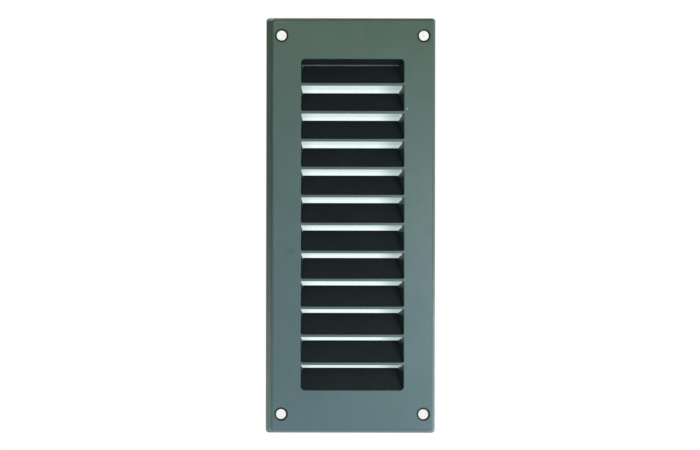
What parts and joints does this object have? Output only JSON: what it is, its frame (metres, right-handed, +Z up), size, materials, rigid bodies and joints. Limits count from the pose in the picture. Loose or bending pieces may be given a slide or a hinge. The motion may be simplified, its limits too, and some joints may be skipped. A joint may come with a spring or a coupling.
{
  "type": "louvred air grille",
  "caption": "Upright rectangular sheet-metal air grille with a flat satin front, a column of louvre slots with dark inclined blades, and a recessed screw hole in each corner.",
  "frame": {"origin": "centre of the bounding box: midway between the front face and the rear rim, centred on the plate", "axes": "+Z up along the long side, -Y out of the front face towards the room, +X to the right seen from the front"},
  "size_m": [0.0828, 0.008, 0.203],
  "materials": {
    "plate_paint": "satin grey with a slight green cast, fine orange-peel and faint rub marks",
    "blade_paint": "near-black satin",
    "carrier_paint": "dark green-grey satin",
    "stud_steel": "copper-flashed mild steel, dull",
    "nut_zinc": "bright zinc plate"
  },
  "bodies": {
    "root": {"face_plate": "plate_paint", "louvre_blade_01": "blade_paint", "louvre_blade_02": "blade_paint", "louvre_blade_03": "blade_paint", "louvre_blade_04": "blade_paint", "louvre_blade_05": "blade_paint", "louvre_blade_06": "blade_paint", "louvre_blade_07": "blade_paint", "louvre_blade_08": "blade_paint", "louvre_blade_09": "blade_paint", "louvre_blade_10": "blade_paint", "louvre_blade_11": "blade_paint", "louvre_blade_12": "blade_paint", "blade_carrier_left": "carrier_paint", "blade_carrier_right": "carrier_paint", "top_closing_strip": "blade_paint", "bottom_closing_strip": "blade_paint", "weld_stud_01": "stud_steel", "weld_stud_02": "stud_steel", "weld_stud_03": "stud_steel", "weld_stud_04": "stud_steel", "weld_stud_05": "stud_steel", "weld_stud_06": "stud_steel", "weld_stud_07": "stud_steel", "weld_stud_08": "stud_steel", "weld_stud_09": "stud_steel", "weld_stud_10": "stud_steel", "flange_nut_01": "nut_zinc", "flange_nut_02": "nut_zinc", "flange_nut_03": "nut_zinc", "flange_nut_04": "nut_zinc", "flange_nut_05": "nut_zinc", "flange_nut_06": "nut_zinc", "flange_nut_07": "nut_zinc", "flange_nut_08": "nut_zinc", "flange_nut_09": "nut_zinc", "flange_nut_10": "nut_zinc"}
  },
  "joints": []
}
